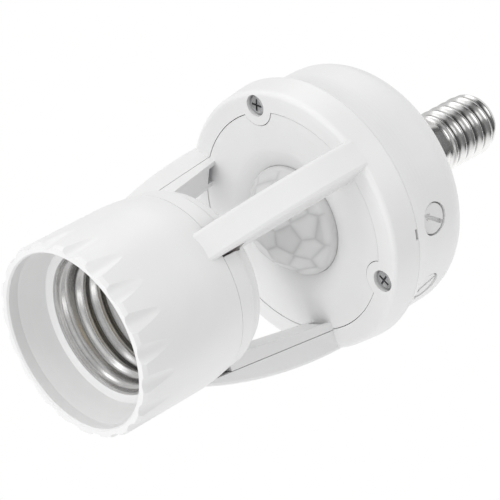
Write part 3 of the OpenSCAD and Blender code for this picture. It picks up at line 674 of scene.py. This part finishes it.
@dataclass(frozen=True)
class Lamp:
    """A square lamp; towards is right, up and back as the camera sees it."""

    name: str
    towards: tuple
    distance: float
    size: float
    watts: float


@dataclass(frozen=True)
class Screen:
    """A curved screen round the part's axis, for the metal to mirror.

    It spreads to either side of its azimuth, in degrees, and reaches from low to high. The tone is its
    glow, and soft is the share of its half width over which its edges fade.
    """

    name: str
    azimuth: float
    spread: float
    low: float
    high: float
    radius: float
    tone: float
    soft: float = 0.5


@dataclass(frozen=True)
class Studio:
    """The camera of the photograph and a white studio.

    The fitted view gives the focal length and the picture's side in pixels, the part's axis and one side
    direction in camera terms, the axis's point at ring_z in millimetres, and the part's turn in degrees.
    """

    focal_px: float = 2400.0
    picture_px: float = 500.0
    ring_point: tuple = (8.206, -5.632, 489.489)
    ring_z: float = 60.43
    axis: tuple = (0.69396, -0.38239, 0.61009)
    side: tuple = (-0.48261, -0.87583, 0.0)
    turn: float = 168.9
    sensor_mm: float = 36.0
    clip: tuple = (0.01, 20.0)
    middle_z: float = 0.062
    ambient: float = 0.78
    mirrored: float = 0.86
    floor_r: float = 0.6
    floor_z: float = -0.0002
    floor_sides: int = 96
    floor_tone: tuple = (0.97, 0.97, 0.97, 1.0)
    floor_fade_mm: tuple = (90.0, 420.0)
    screen_points: int = 49
    screen_power: float = 2.2
    lamps: tuple = (
        Lamp("key_lamp", towards=(-0.45, 0.75, 0.55), distance=1.03, size=0.6, watts=2.3),
        Lamp("left_lamp", towards=(-0.85, 0.0, 0.55), distance=1.0, size=0.5, watts=1.6),
        Lamp("low_fill", towards=(-0.5, -0.75, 0.6), distance=1.0, size=0.5, watts=1.6),
        Lamp("rim_lamp", towards=(0.9, 0.3, -0.2), distance=0.93, size=0.5, watts=0.8),
    )
    screens: tuple = (
        Screen("side_grey", azimuth=-75, spread=62, low=-0.4, high=1.7, radius=0.62, tone=0.18, soft=0.15),
        Screen("upper_dark", azimuth=-128, spread=16, low=-0.4, high=1.7, radius=0.6, tone=0.05, soft=0.9),
        Screen("lower_dark", azimuth=-14, spread=14, low=-0.4, high=1.7, radius=0.6, tone=0.05, soft=0.9),
        Screen("top_grey", azimuth=-186, spread=38, low=-0.15, high=1.7, radius=0.62, tone=0.6),
        Screen("low_white", azimuth=62, spread=60, low=-0.15, high=1.7, radius=0.62, tone=1.15, soft=0.2),
        Screen("right_box", azimuth=-84, spread=22, low=-0.2, high=0.4, radius=0.5, tone=1.7),
        Screen("top_box", azimuth=-164, spread=18, low=-0.08, high=0.5, radius=0.5, tone=1.8),
        Screen("mouth_grey", azimuth=0, spread=180, low=-1, high=-0.24, radius=0.66, tone=0.45, soft=0.2),
        Screen("mouth_left", azimuth=-172, spread=24, low=-0.6, high=-0.26, radius=0.5, tone=1.9, soft=0.8),
        Screen("mouth_right", azimuth=-15, spread=20, low=-0.6, high=-0.3, radius=0.5, tone=1.6, soft=0.8),
    )

    def placed(self) -> Matrix:
        """The camera's matrix in the part's frame.

        Camera terms have x right, y down and z ahead. The part's x is the side direction turned about its
        axis, and its y is the cross product of axis and x. Inverting these and the origin gives the camera,
        which has y up and z back.

        Returns:
            The 4 by 4 matrix, in metres.
        """
        axis, side = np.array(self.axis), np.array(self.side)
        turn = math.radians(self.turn)
        x = math.cos(turn) * side + math.sin(turn) * np.cross(axis, side)
        turned = np.stack([x, np.cross(axis, x), axis], axis=1)
        origin = np.array(self.ring_point) - self.ring_z * axis
        matrix = np.eye(4)
        matrix[:3, :3] = turned.T @ np.diag([1, -1, -1])
        matrix[:3, 3] = -turned.T @ origin * MM
        return Matrix(matrix.tolist())

    def camera(self) -> None:
        """Adds the camera and makes it the scene's own."""
        data = bpy.data.cameras.new("photo_camera")
        data.sensor_width = self.sensor_mm
        data.lens = self.sensor_mm * self.focal_px / self.picture_px
        data.clip_start, data.clip_end = self.clip
        made = add("photo_camera", data)
        made.matrix_world = self.placed()
        bpy.context.scene.camera = made

    def aimed(self, towards: tuple, distance: float) -> Matrix:
        """A place round the part's middle, for a lamp that looks at it along its own -Z.

        Args:
            towards: right, up and back as the camera sees them, of any length.
            distance: metres from the part's middle.

        Returns:
            The 4 by 4 matrix, with the lamp's own X level.
        """
        z = np.array(self.placed().to_3x3()) @ np.array(towards, float)
        z /= np.linalg.norm(z)
        x = np.cross([0.0, 0.0, 1.0], z)
        x /= np.linalg.norm(x)
        matrix = np.eye(4)
        matrix[:3, :3] = np.stack([x, np.cross(z, x), z], axis=1)
        matrix[:3, 3] = np.array([0, 0, self.middle_z]) + z * distance
        return Matrix(matrix.tolist())

    def lamp(self, lamp: Lamp) -> None:
        """Adds a soft area lamp that looks at the part's middle and isn't mirrored."""
        data = bpy.data.lights.new(lamp.name, "AREA")
        data.size, data.energy = lamp.size, lamp.watts
        made = add(lamp.name, data)
        made.matrix_world = self.aimed(lamp.towards, lamp.distance)
        hide(made, Ray.GLOSSY)

    def screen(self, screen: Screen) -> None:
        """Adds a screen that shows only as a reflection.

        Its cover is 1 - (1 - s)^power, where s is the product of two smooth steps that rise from the edges
        over the share soft of the half width. A full circle has no side edges. The attribute gap, which
        the material reads, is 1 less the cover.

        Args:
            screen: the screen.
        """
        count = self.screen_points
        u, v = np.meshgrid(np.linspace(-1, 1, count), np.linspace(-1, 1, count))
        full_circle = screen.spread >= 180
        across = 1.0 if full_circle else smooth_step((1 - np.abs(u)) / screen.soft)
        along = smooth_step((1 - np.abs(v)) / screen.soft)
        cover = 1 - (1 - across * along)**self.screen_power
        z = (screen.low + screen.high) / 2 + v * (screen.high - screen.low) / 2
        points = round_axis(screen.radius, np.radians(screen.azimuth + u * screen.spread), z)
        index = np.arange(count * count).reshape(count, count)
        quads = np.stack([index[:-1, :-1], index[:-1, 1:], index[1:, 1:], index[1:, :-1]], axis=-1)
        mesh = bpy.data.meshes.new(screen.name)
        mesh.from_pydata(points.reshape(-1, 3).tolist(), [], quads.reshape(-1, 4).tolist())
        carry(mesh, "gap", 1 - cover)
        made = add(screen.name, mesh)
        recipe = Recipe(bpy.data.materials.new(screen.name))
        glow = recipe.node("ShaderNodeEmission", {}, {"Color": WHITE, "Strength": screen.tone})
        mesh.materials.append(recipe.veil(glow, recipe.attribute("gap")))
        hide(made, Ray.CAMERA, Ray.DIFFUSE, Ray.SHADOW, Ray.TRANSMISSION)

    def world(self) -> None:
        """A white surround: full white to the eye and through glass, and a soft light on the part."""
        sky = bpy.data.worlds.new("white_surround")
        bpy.context.scene.world = sky
        recipe = Recipe(sky)
        rays = recipe.node("ShaderNodeLightPath")
        seen, through, gloss = (
            Value(recipe, rays.outputs[f"Is {kind} Ray"]) for kind in ("Camera", "Transmission", "Glossy"))
        strength = (self.ambient + seen.larger(through) * (1.0 - self.ambient)
                    + gloss * (self.mirrored - self.ambient))
        glow = recipe.node("ShaderNodeBackground", {}, {"Color": WHITE, "Strength": strength})
        recipe.end(glow, "ShaderNodeOutputWorld")

    def floor(self) -> None:
        """A pale round floor under the mouth that fades into the surround and can't be seen from below."""
        around = np.linspace(0, 2 * np.pi, self.floor_sides, endpoint=False)
        mesh = bpy.data.meshes.new("floor")
        rim = round_axis(self.floor_r, around, self.floor_z)
        mesh.from_pydata(rim.tolist(), [], [list(range(self.floor_sides))])
        ground = add("floor", mesh)
        recipe = Recipe(bpy.data.materials.new("pale_floor"))
        x, y, _ = recipe.axes()
        far = (x * x + y * y).root().step(*self.floor_fade_mm)
        under = Value(recipe, recipe.node("ShaderNodeNewGeometry").outputs["Backfacing"])
        pale = recipe.node("ShaderNodeBsdfDiffuse", {}, {"Color": self.floor_tone})
        mesh.materials.append(recipe.veil(pale, far.larger(under)))
        hide(ground, Ray.DIFFUSE, Ray.SHADOW, Ray.GLOSSY)

    def build(self) -> None:
        """Sets the camera, the surround, the floor, the lamps and the screens."""
        bpy.context.scene.view_settings.view_transform = "Standard"
        self.camera()
        self.world()
        self.floor()
        for lamp in self.lamps:
            self.lamp(lamp)
        for screen in self.screens:
            self.screen(screen)


@dataclass(frozen=True)
class Wardrobe:
    """Every finish, and which solid wears which."""

    body: MouldedPlastic = MouldedPlastic("moulded_body", (0.84, 0.84, 0.84), (0.815, 0.815, 0.815))
    dial: MouldedPlastic = MouldedPlastic("moulded_dial", (0.81, 0.81, 0.81), (0.78, 0.78, 0.78), 0.36)
    clamp: MouldedPlastic = MouldedPlastic("moulded_clamp", (0.78, 0.785, 0.79), (0.74, 0.745, 0.75), 0.45)
    ivory: MouldedPlastic = MouldedPlastic("moulded_cup", (0.74, 0.725, 0.69), (0.68, 0.665, 0.63), 0.5)
    lens: MilkyLens = MilkyLens()
    shell: FormedMetal = FormedMetal(
        "rolled_shell", (0.80, 0.795, 0.79), (0.70, 0.695, 0.69), 0.24, marks=0.012, rings_per_mm=4.0)
    cap: FormedMetal = FormedMetal(
        "polished_cap", (0.84, 0.835, 0.83), (0.78, 0.775, 0.77), 0.24, marks=0.0008, rings_per_mm=2.0,
        haze=0.03, root_shade_tone=0.45)
    screw: FormedMetal = FormedMetal(
        "plated_screw", (0.62, 0.62, 0.63), (0.48, 0.48, 0.49), 0.24, rings_per_mm=3.0)
    brass: FormedMetal = FormedMetal(
        "rolled_brass", (0.76, 0.66, 0.48), (0.64, 0.54, 0.38), 0.28, rings_per_mm=5.0)
    solder: FormedMetal = FormedMetal(
        "soldered_tip", (0.70, 0.69, 0.67), (0.58, 0.57, 0.55), 0.22, marks=0.03, rings_per_mm=2.0)
    can: FormedMetal = FormedMetal(
        "plated_can", (0.66, 0.66, 0.67), (0.56, 0.56, 0.57), 0.3, rings_per_mm=3.0)
    board: BoardLaminate = BoardLaminate()
    black: PlainPart = PlainPart("black_moulding", (0.028, 0.028, 0.032), 0.45)
    window: PlainPart = PlainPart("dark_window", (0.035, 0.035, 0.04), 0.12, speckle=0.05, coat=0.6)
    glass: PlainPart = PlainPart("black_glass", (0.012, 0.012, 0.014), 0.12, speckle=0.1, coat=0.5)
    ceramic: PlainPart = PlainPart("fired_ceramic", (0.66, 0.54, 0.38), 0.6)
    blue: PlainPart = PlainPart("blue_moulding", (0.03, 0.14, 0.42), 0.32)
    yellow: PlainPart = PlainPart("yellow_box", (0.62, 0.40, 0.06), 0.28, speckle=0.06, coat=0.3)
    sleeve: PlainPart = PlainPart("dark_sleeve", (0.04, 0.045, 0.06), 0.3, speckle=0.1, coat=0.2)
    dipped: PlainPart = PlainPart("blue_dip", (0.05, 0.16, 0.46), 0.35, speckle=0.08, coat=0.3)
    lacquer: PlainPart = PlainPart("green_lacquer", (0.16, 0.38, 0.20), 0.4)
    red: PlainPart = PlainPart("red_insulation", (0.50, 0.04, 0.03), 0.4, speckle=0.05)
    navy: PlainPart = PlainPart("blue_insulation", (0.03, 0.10, 0.42), 0.4, speckle=0.05)

    def dress(self) -> dict[str, bpy.types.Material]:
        """Puts a finish on every solid.

        Returns:
            The made materials by field name.
        """
        made = {field.name: getattr(self, field.name).make() for field in fields(self)}
        worn = {
            "body": ("housing_cage", "inner_cover", "rear_shell"),
            "dial": ("time_knob", "lux_knob"),
            "clamp": ("lens_retainer",),
            "ivory": ("socket_cup",),
            "lens": ("pir_lens",),
            "shell": ("e27_shell",),
            "cap": ("e14_shell",),
            "screw": ("case_screws", "board_screws"),
            "brass": ("centre_contact", "contact_rivet"),
            "solder": ("e14_tip",),
            "can": ("pir_detector",),
            "board": ("main_board", "sensor_board"),
            "black": ("board_header", "control_chip", "rectifier", "regulator"),
            "window": ("pir_window",),
            "glass": ("e14_insulator",),
            "ceramic": ("light_cell",),
            "blue": ("time_trimmer", "lux_trimmer", "relay"),
            "yellow": ("film_capacitor",),
            "sleeve": ("smoothing_capacitor",),
            "dipped": ("varistor",),
            "lacquer": ("fuse_resistor",),
            "red": ("lamp_live_lead", "cap_tip_lead"),
            "navy": ("lamp_neutral_lead", "cap_shell_lead"),
        }
        for finish, nodes in worn.items():
            for node in nodes:
                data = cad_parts[node].data
                data.materials.clear()
                data.materials.append(made[finish])
        return made


LAMP_SHELL = ThreadedShell(
    name="lamp_socket_shell", node="e27_shell", slot="shell_nickel",
    pitch=3.629, root_r=13.4, crest_r=12.3, z_start=12.1, z_end=26.5, sheet=0.3, turn=0.17,
    before=((16.0, 9.9), (15.2, 9.9), (14.98, 9.62), (14.88, 9.3), (14.72, 9.25), (14.58, 9.55),
            (14.3, 10.3), (13.7, 11.0), (13.42, 11.7), (13.4, 12.1)),
    after=((13.4, 26.5), (13.4, 26.76)))
CAP_SHELL = ThreadedShell(
    name="small_cap_shell", node="e14_shell", slot="cap_nickel",
    pitch=2.822, root_r=6.15, crest_r=6.9, z_start=104.2, z_end=119.2, sheet=-0.3, turn=0.0,
    before=((6.35, 99.5), (6.35, 100.6), (6.34, 102.4), (6.25, 103.6), (6.15, 104.2)),
    after=((6.15, 119.2), (6.0, 119.5), (5.75, 119.75), (5.55, 119.8)))
LENS = SensorLens(name="sensor_lens", node="pir_lens", slot="lens_milky")


def main() -> None:
    """Builds the studio, dresses the solids and adds the formed pieces in order."""
    logging.basicConfig(level=logging.INFO, format="%(message)s")
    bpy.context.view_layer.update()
    Studio().build()
    finishes = Wardrobe().dress()
    LAMP_SHELL.dress(finishes["shell"])
    CAP_SHELL.dress(finishes["cap"])
    LENS.dress(finishes["lens"])


if __name__ == "__main__":
    main()
